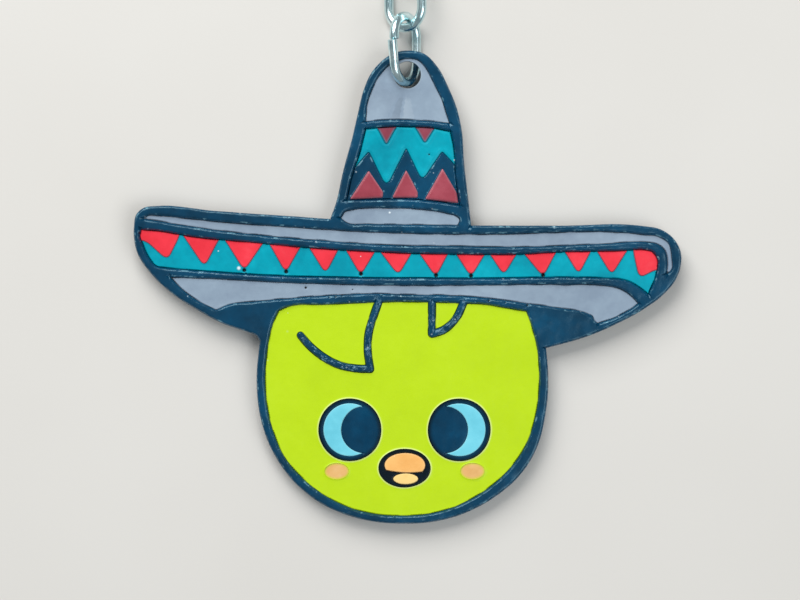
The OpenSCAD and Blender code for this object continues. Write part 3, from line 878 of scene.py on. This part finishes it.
# %% [markdown]
# ## The navy line work
# The lines are one casting that stands 1.2 mm above the backing, with round shoulders. The real
# ones are a little rough: they have small nicks along their edges, and the feather strokes on the
# forehead are lumpy. Nicks are spots placed along the border by a seeded draw, and a few that can
# be seen clearly are listed one by one.

# %% Cast the line work
pen_face = face - feathers
line_area = rim
for pocket in pockets + [pen_face]:
    line_area = line_area - pocket
stroke_middles = [evenly(smooth_run(line), 0.2) for line in feather_lines + tuft_lines]
feather_reach = 0.55


def line_top(points, depth, wall):
    """Line tops: charm height less a round shoulder, gently uneven, and lumpy on the feathers."""
    to_feathers = np.min([distance_to(points, line[:-1], line[1:]) for line in stroke_middles], axis=0)
    lumps = to_feathers < feather_reach
    rough = lumps * (0.05 * ripple(points, 1.1, 33) + 0.03 * ripple(points, 0.6, 34) - 0.06)
    uneven = 0.016 * ripple(points, 6, 31) + 0.016 * ripple(points, 1.4, 32) - 0.04
    return line_top_z - shoulder(depth, 0.34) + uneven + rough


def nicks_along(line, count, seed, pale=0.2):
    """Nicks along a line: seeded places, sizes and depths. A share of them is pale: a painted highlight."""
    rng = np.random.default_rng(seed)
    at = line[rng.integers(0, len(line), count)]
    at = at + rng.normal(0, 0.12, (count, 2))
    radius = rng.uniform(0.08, 0.18, count)
    deep = rng.uniform(0.03, 0.11, count)
    tone = np.where(rng.uniform(size=count) < pale, -0.45, 0.0)
    return np.column_stack([at, radius, deep, tone])


# A positive tone below paints shade into a nick, and a negative one paints a highlight.
# x, y, radius, depth and tone of each, as for every spot
placed_nicks = np.array([
    [-8.5, -1.0, 0.16, 0.12, 0.9], [-9.3, -1.25, 0.14, 0.1, 0.9], [-10.1, -1.3, 0.13, 0.1, 0.8],
    [10.3, -1.75, 0.15, 0.12, 0.9], [12.4, -2.0, 0.13, 0.1, 0.7], [15.2, -2.3, 0.16, 0.12, 0.9],
    [-2.6, 12.2, 0.1, 0.05, -1.0], [-2.55, 11.8, 0.09, 0.05, -1.0], [-34.4, 6.9, 0.16, 0.1, 0.7]])
nicked_borders = ((brim_under_border, 34), (brim_band_border, 26), (brim_strip_border, 30),
                  (crown_cap_border, 9), (crown_hem_border, 11), (rim_border, 36), (face_border, 14))
nicks = np.vstack(
    [placed_nicks]
    + [nicks_along(outline(border, 0.1), count, 40 + count) for border, count in nicked_borders]
    + [nicks_along(line, 5, 90 + i, 0.5) for i, line in enumerate(stroke_middles)]
)
cast("line_work", line_area, line_top, "outline_walls", "navy_pvc", navy_pvc,
     walls=[], spots=nicks, gap=0.4)

# %% [markdown]
# ## The poured colours
# The pockets between the lines are filled with liquid PVC. Where it touches a line it creeps up in
# a small lip, and where two colours meet each keeps a round edge, so that a fine groove parts
# them. Bubbles leave voids, mostly in the tight corners under the red triangles' tips, and their
# near-black colour is painted shade. Each colour is its own casting, as it is its own pour, and
# all share the same voids and flecks, some of which are painted highlights.

# %% Voids and flecks, with painted shade and highlights
# Voids are dents; the dark tone they carry is painted shade in them.
tip_voids = [[-21.0, 2.15], [-15.65, 1.95], [-6.07, 1.68], [3.53, 1.5], [8.0, 1.45], [17.2, 1.5]]
tip_void_look = [0.25, 0.3, 1.3]
voids = np.array(
    [place + tip_void_look for place in tip_voids]
    + [[-13.15, -0.1, 0.15, 0.2, 1.1], [-7.15, -0.35, 0.1, 0.12, 0.8], [2.65, 16.9, 0.13, 0.12, 0.8]]
)
# Pale spots: some are flecks in the pour, and the white ones, as on the hem, are painted highlights.
flecks_and_highlights = np.array([
    [-21.7, 2.4, 0.24, -0.03, -1.0], [-2.4, 9.5, 0.13, -0.04, -1.2], [5.9, 16.2, 0.12, -0.03, -1.1],
    [-6.7, 14.7, 0.16, -0.03, -0.5], [-24.3, 4.6, 0.1, -0.02, -0.8], [-6.1, 3.9, 0.09, -0.02, -0.7],
    [-15.5, -5.7, 0.3, 0.0, -0.3], [-18.0, -9.4, 0.14, 0.0, -0.4], [3.2, 14.6, 0.12, -0.02, -0.5]])
marks = np.vstack([voids, flecks_and_highlights])
print("voids:", len(voids), " flecks:", len(flecks_and_highlights))


# %% How poured colour lies
crevice_depth = 0.3
crevice_width = 0.055
bead_place = 0.4


def crevice(points, wall):
    """The hairline gap along a wall: depth * exp(-(wall / width)^2), less in some stretches."""
    share = np.clip(0.65 + 0.5 * ripple(points, 2.6, 71), 0.15, 1)
    return crevice_depth * share * np.exp(-((wall / crevice_width) ** 2))


def poured(level, lip=0.08, seed=51):
    """A level pour: level plus a lip that fades as exp(-depth / 0.16), less the crevice."""

    def height(points, depth, wall):
        uneven = 0.018 * ripple(points, 7, seed) + 0.006 * ripple(points, 1.8, seed + 1)
        return level + lip * np.exp(-depth / 0.16) + uneven - crevice(points, wall)

    return height


def pillowed(level, radius=0.14, dome=0.02, seed=61, bead=0.0):
    """A pour with a round edge: level less a shoulder, with a low dome towards its middle, which
    rises as 1 - exp(-depth / 0.6), a bead a little in from its edge, and the crevice along walls."""

    def height(points, depth, wall):
        uneven = 0.01 * ripple(points, 4, seed) + 0.005 * ripple(points, 1.3, seed + 1)
        bump = bead * np.exp(-(((depth - bead_place) / 0.1) ** 2))
        dome_here = dome * (1 - np.exp(-depth / 0.6))
        return level - shoulder(depth, radius) + dome_here + bump + uneven - crevice(points, wall)

    return height


def about_hole(points):
    """Distance from the hole's middle in mm, and the angle about it in degrees from straight down."""
    from_hole = points - hole_middle
    return np.linalg.norm(from_hole, axis=1), np.degrees(np.arctan2(from_hole[:, 0], -from_hole[:, 1]))


def painted_fold_light(points):
    """Painted light and shade on the crown's folds: the narrow fold left of the middle is painted darker,
    and the fold right of it paler.
    """
    reach, angle = about_hole(points)
    at, tones = [-60, -24, -22, -9, -7, 9, 12, 60], [-0.2, -0.22, 0.28, 0.32, -0.32, -0.26, 0.1, 0.0]
    fold_light_and_shade = np.interp(angle, at, tones)
    return fold_light_and_shade * np.clip((reach - hole_radius) / 1.5, 0, 1)


def creased(points, depth, wall):
    """The crown's grey: a pour that was folded about the hole. Its height follows broken straight
    lines in the angle about the hole, times the distance from its edge, where the pour droops."""
    reach, angle = about_hole(points)
    from_edge = np.maximum(reach - hole_radius, 0)
    fold = np.interp(angle, [-70, -23, -8, 10, 70], [0.035, -0.015, 0.04, -0.012, 0.04])
    droop = 0.06 * np.exp(-from_edge / 0.25)
    return poured(fill_z)(points, depth, wall) + fold * from_edge - droop


# %% Cast the hat's colours
band_wall = [outline(crown_band_border)]
brim_wall = [outline(brim_band_border)]
cap_wall = [outline(crown_cap_border)]
# The crown's grey takes painted light and shade on its folds, as well as their real tilt.
cast("crown_cap_grey", crown_cap - hole, creased, "crown_cap_fill", "grey_pvc", grey_pvc,
     walls=cap_wall, spots=marks, stain=painted_fold_light, gap=0.3)
for name, area, node in (
    ("crown_hem_grey", crown_hem, "crown_hem_fill"),
    ("brim_edge_grey", brim_strip, "brim_edge_fill"),
    ("brim_under_grey", brim_under, "brim_under_fill"),
):
    cast(name, area, poured(fill_z), node, "grey_pvc", grey_pvc, spots=marks)
cast("brim_teal", brim_band - brim_reds, pillowed(fill_z, 0.1), "brim_teal_band", "teal_pvc", teal_pvc,
     walls=brim_wall, spots=marks)
cast("brim_reds", brim_reds, pillowed(fill_z + 0.03, 0.12, 0.03), "brim_red_triangles", "bright_red_pvc",
     bright_red_pvc, walls=brim_wall, spots=marks)
crown_teal = (crown_band & above_zigzag) - crown_uppers
crown_navy = crown_band - above_zigzag - crown_lowers
cast("crown_teal", crown_teal, pillowed(fill_z + 0.02, 0.16, bead=0.05), "crown_teal_zigzag", "teal_pvc",
     teal_pvc, walls=band_wall, spots=marks)
cast("crown_navy", crown_navy, pillowed(fill_z - 0.1, 0.08), "crown_navy_zigzag", "navy_pvc", navy_pvc,
     walls=band_wall, spots=marks)
cast("crown_upper_reds", crown_uppers, pillowed(fill_z + 0.01, 0.12), "crown_upper_triangles",
     "dark_red_pvc", faded_red_pvc, walls=band_wall, spots=marks, gap=0.3)
cast("crown_lower_reds", crown_lowers, pillowed(fill_z + 0.12, 0.3, 0.03), "crown_lower_triangles",
     "dark_red_pvc", dark_red_pvc, walls=band_wall, spots=marks, gap=0.3)

# %% [markdown]
# ## The chick's face
# The face is one lime pour with the tuft's small piece apart from it. The eyes are navy discs with
# a dark ring and a light crescent, the beak is a dark oval with two soft halves, and the cheeks
# are thin ovals of peach that fade into the lime at their edges. Everything here is flat work
# with fine round edges, so the same casting serves, and only the tint's depth differs: an eye is
# tinted from its own rim and not from the crescent in it.

# %% Cast the face
face_area = pen_face - tuft - beak
for side in eyes:
    face_area = face_area - eye_discs[side] - cheeks[side]
face_walls = face.lines + feathers.lines
# The lime's pale edge tint along these lines is a painted highlight on its lip.
face_meets = beak.lines + eye_discs[-1].lines + eye_discs[1].lines
cast("face_lime", face_area, poured(fill_z), "face_fill", "lime_pvc", lime_pvc, walls=face_walls,
     met=face_meets, spots=marks, gap=0.5)
cast("tuft_lime", pen_face & tuft, poured(fill_z), "tuft_fill", "lime_pvc", lime_pvc,
     walls=face_walls, met=[])
for side, word in ((-1, "left"), (1, "right")):
    cast(f"{word}_eye_navy", eye_discs[side] - glints[side], pillowed(face_z, 0.14, 0.03, 71 + side),
         f"{word}_eye", "navy_pvc", eye_navy_pvc, walls=[], met=eye_discs[side].lines, gap=0.35)
    cast(f"{word}_glint", glints[side], pillowed(face_z + 0.01, 0.1, 0.02), f"{word}_eye_glint",
         "light_blue_pvc", light_blue_pvc, walls=[], gap=0.35)
    cast(f"{word}_cheek_peach", cheeks[side], poured(fill_z, 0.0, 81), f"{word}_cheek", "peach_pvc",
         cheek_pvc, walls=[], gap=0.3)
cast("beak_line", beak - upper_beak - lower_beak, pillowed(face_z, 0.14), "beak_outline", "navy_pvc",
     beak_line_pvc, walls=[], gap=0.3)
cast("upper_beak_orange", upper_beak, pillowed(face_z + 0.01, 0.14, 0.03), "upper_beak", "orange_pvc",
     orange_pvc, walls=[], gap=0.3)
cast("lower_beak_peach", lower_beak, pillowed(face_z + 0.01, 0.14, 0.02), "lower_beak", "peach_pvc",
     peach_pvc, walls=[], gap=0.3)

# %% [markdown]
# ## The nickel-plated steel
# The chain and the ring are plated steel wire: bright, a little grey, with faint smudges and the
# fine scratches that keys leave. Metal is all reflection, so most of its look is in its roughness
# and in a slight waviness of its surface, with little in its colour.


# %% Plated steel
def plated_steel():
    """Bright metal whose roughness and colour change a little in smudges, and in fine scratches:
    noise that is drawn out eight times along the chain."""
    finish = Finish("nickel_steel")
    smudge = finish.noise(2.5, 4, 0.6)
    pits = finish.noise(0.12, 2, 0.6)
    drawn_out = {"Vector": finish.place, "Scale": (9000.0, 1100.0, 9000.0)}
    along_chain = finish.node("ShaderNodeMapping", None, drawn_out)
    scratch = finish.node("ShaderNodeTexNoise", None, {"Vector": along_chain, "Scale": 1.0, "Detail": 2.0})
    lines = finish.between(scratch, 0.6, 0.72)
    colour = finish.mix(finish.between(smudge, 0.35, 0.7), shade("#b4d8de"), shade("#e6fafc"))
    colour = finish.mix(0.35 * finish.between(pits, 0.62, 0.75), colour, shade("#7d8688"))
    roughness = 0.14 + 0.14 * smudge + 0.1 * lines
    height = 0.004 * pits + 0.01 * smudge + 0.004 * lines
    return finish.surface(colour, roughness, height, Metallic=1.0)


steel = plated_steel()
print("steel nodes:", len(steel.node_tree.nodes))

# %% [markdown]
# ## Wire carried along a path
# A link is a round wire bent to an oval, and the split ring is a flat wire wound twice. Both are a
# profile carried along a path, so one function makes them: it needs the path, the direction to its
# left, the direction up from its plane, and the profile. The CAD hinges say where each link is:
# a hinge is the middle of the round end that the link turns about, and its axis is the link's own
# upright.


# %% Carry a profile along a path
def carried(path, left, up, profile, size, closed):
    """P(s, t) = path(s) + size(s) * (profile_u(t) * left(s) + profile_v(t) * up). A closed path
    joins its last ring of points to its first. An open one has a flat fan at each end."""
    spread = profile[None, :, :1] * left[:, None] + profile[None, :, 1:] * up
    rings = path[:, None] + size[:, None, None] * spread
    count, around = rings.shape[:2]
    i, j = np.meshgrid(np.arange(count if closed else count - 1), np.arange(around), indexing="ij")
    i_next, j_next = (i + 1) % count, (j + 1) % around
    near, far = i * around, i_next * around
    quads = np.stack([near + j, near + j_next, far + j_next, far + j], axis=-1)
    points, faces = rings.reshape(-1, 3), quads.reshape(-1, 4).tolist()
    if closed:
        return points, faces
    first, last = np.full(around, len(points)), np.full(around, len(points) + 1)
    start = np.arange(around)
    end = start + (count - 1) * around
    start_fan = np.column_stack([first, np.roll(start, -1), start])
    end_fan = np.column_stack([last, end, np.roll(end, -1)])
    return np.vstack([points, path[:1], path[-1:]]), faces + start_fan.tolist() + end_fan.tolist()


def wire_line(line, at):
    """Points of a line at distances along it, the directions to the left of it there, and its length."""
    along = np.append(0, np.cumsum(np.linalg.norm(np.diff(line, axis=0), axis=1)))
    left = across(line)
    points = np.column_stack([np.interp(at, along, column) for column in line.T])
    sides = np.column_stack([np.interp(at, along, column) for column in left.T])
    return points, sides / np.linalg.norm(sides, axis=1)[:, None], along[-1]


def in_plane(flat):
    """Flat points or directions as three-dimensional ones with z = 0."""
    return np.column_stack([flat, np.zeros(len(flat))])


wire_radius = 0.6
bow_radius = 2.6
side_length = 3.2
up = np.array([0, 0, 1.0])
turn = np.linspace(0, 2 * np.pi, 33)[:-1]
round_profile = wire_radius * np.column_stack([np.cos(turn), np.sin(turn)])
half_turn = np.linspace(0, np.pi, 60)
bow = bow_radius * np.column_stack([np.cos(half_turn), np.sin(half_turn)])
up_side = np.array([[0, side_length / 2]])
wire_sharp = 50.0


def wire_piece(name, local, faces, origin, upright, body, node):
    """Puts a link's points into its frame: y runs along the chain, and upright is its normal."""
    y_way = np.array([0.0, 1.0, 0.0])
    x_way = np.cross(y_way, upright)
    place = origin + local[:, :1] * x_way + local[:, 1:2] * y_way + local[:, 2:] * upright
    make_piece(name, place * MM, faces, body, [node], "nickel_steel", steel, wire_sharp)
    print(f"{name}: {len(faces)} faces")


# %% Closed links
groove = 0.09
groove_width = 0.045
waviness = 0.006


def closed_link(joint, wave):
    """A closed oval of wire, of the size 1 - groove * exp(-(distance to the seam / width)^2). The
    seam is where its ends meet, in the middle of one side. Three slight waves run along the wire,
    and `wave` shifts them, so that no two links are alike."""
    line = np.vstack([[[bow_radius, 0]], bow + up_side, -bow - up_side, [[bow_radius, 0]]])
    length = wire_line(line, np.zeros(1))[2]
    seam = length / 2
    close_by = seam + np.array([-0.14, -0.07, -0.03, 0.03, 0.07, 0.14])
    at = np.unique(np.append(np.linspace(0, length, 150), close_by))[:-1]
    path, left, _ = wire_line(line, at)
    size = 1 - groove * np.exp(-(((at - seam) / groove_width) ** 2))
    size += waviness * np.sin(2 * np.pi * at * 3 / length + wave)
    local, faces = carried(in_plane(path), in_plane(left), up, round_profile, size, True)
    upright = np.array(joint["axis"])
    origin = np.array(joint["pos_m"]) / MM + (0, side_length / 2, 0)
    body = joint["child"]
    node = body.replace("_body", "")
    wire_piece(f"{node}_wire", local, faces, origin, upright, body, node)


link_joints = frame["joints"][:5]
for number, joint in enumerate(link_joints[1:]):
    closed_link(joint, number * 1.7)

# %% [markdown]
# ## The connecting link
# The first link was opened with pliers to thread it through the charm, and it wasn't pressed quite
# shut again: its left side is parted, with a short stub above and a longer end that stands off
# sideways below. It is the same wire on an open path, with its cut ends a little chamfered.

# %% Open link
stub_length = 0.45
sprung_length = 2.7
sprung_turn = np.radians(10)
chamfer = 0.1
chamfer_share = 0.2
end_steps = np.array([0.03, 0.06, chamfer])


def cut_ends(at, length):
    """1 along the wire, and less near its ends, where the cutter left a chamfer."""
    return 1 - chamfer_share * np.clip(1 - np.minimum(at, length - at) / chamfer, 0, 1)


stub = [[-bow_radius, side_length / 2 - stub_length]]
sprung_way = np.array([-np.sin(sprung_turn), np.cos(sprung_turn)])
sprung_foot = np.array([-bow_radius, -side_length / 2])
sprung = sprung_foot + np.linspace(0, sprung_length, 12)[1:, None] * sprung_way
open_line = np.vstack([stub, (bow + up_side)[::-1], (-bow - up_side)[::-1], sprung])
open_length = wire_line(open_line, np.zeros(1))[2]
open_at = np.concatenate([np.linspace(0, open_length, 140), end_steps, open_length - end_steps])
open_at = np.unique(open_at)
open_path, open_left, _ = wire_line(open_line, open_at)
open_size = cut_ends(open_at, open_length)
open_way, open_side = in_plane(open_path), in_plane(open_left)
open_local, open_faces = carried(open_way, open_side, up, round_profile, open_size, False)
first_joint = link_joints[0]
first_origin = np.array(first_joint["pos_m"]) / MM + (0, side_length / 2, 0)
wire_piece("connecting_link_wire", open_local, open_faces, first_origin, np.array(first_joint["axis"]),
           first_joint["child"], "connecting_link")

# %% [markdown]
# ## The split ring
# The ring is flat wire wound twice, with a step where it passes from the lower turn to the upper.
# Its profile is a superellipse: flat faces that lie close together, with round edges. Its near side
# rides on the last link, so it leans, and its middle is the middle of its CAD box.

# %% Wind the ring
ring_radius = 11.7
ring_wire = (1.6, 1.05)
ring_turn_step = 1.15
ring_near_z = 2.6
ring_from = 8.0
ring_to = 712.0
ramp_from = 352.0
ramp_turn = 16.0
ring_ends_at = 60.0
squareness = 0.42
ring_height = ring_turn_step + ring_wire[1]
ring_lean = np.arcsin((ring_near_z - ring_height / 2) / (2 * ring_radius))
close_steps = np.array([0, 0.15, 0.3, 0.6])
between_ends = np.arange(ring_from + 2, ring_to, 2.0)
angle = np.concatenate([ring_from + close_steps, between_ends, ring_to - close_steps[::-1]])
rise = np.clip((angle - ramp_from) / ramp_turn, 0, 1)
level = ring_turn_step * (rise**2 * (3 - 2 * rise) - 0.5)
spin = np.radians(angle + ring_ends_at)
ring_path = np.column_stack([ring_radius * np.cos(spin), ring_radius * np.sin(spin), level])
ring_left = np.column_stack([-np.cos(spin), -np.sin(spin), np.zeros(len(spin))])
across_wire = np.array([np.cos(turn), np.sin(turn)])
squared = np.sign(across_wire) * np.abs(across_wire) ** squareness
ring_profile = (squared * np.array(ring_wire)[:, None] / 2).T
along_ring = np.radians(angle - angle[0]) * ring_radius
ring_size = cut_ends(along_ring, along_ring[-1])
ring_local, ring_faces = carried(ring_path, ring_left, up, ring_profile, ring_size, False)
ring_low, ring_high = (np.array(corner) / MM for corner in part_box("split_ring"))
ring_middle = (ring_low + ring_high) / 2
x, y, z = ring_local.T
ring_y = y * np.cos(ring_lean) + z * np.sin(ring_lean)
ring_z = z * np.cos(ring_lean) - y * np.sin(ring_lean)
ring_place = (np.column_stack([x, ring_y, ring_z]) + ring_middle) * MM
make_piece("split_ring_wire", ring_place, ring_faces, "split_ring_body", ["split_ring"], "nickel_steel",
           steel, wire_sharp)
print("split_ring_wire:", len(ring_faces), "faces, middle, mm:", ring_middle.round(2))

# %% [markdown]
# ## The sizes

# %% Sizes
import json
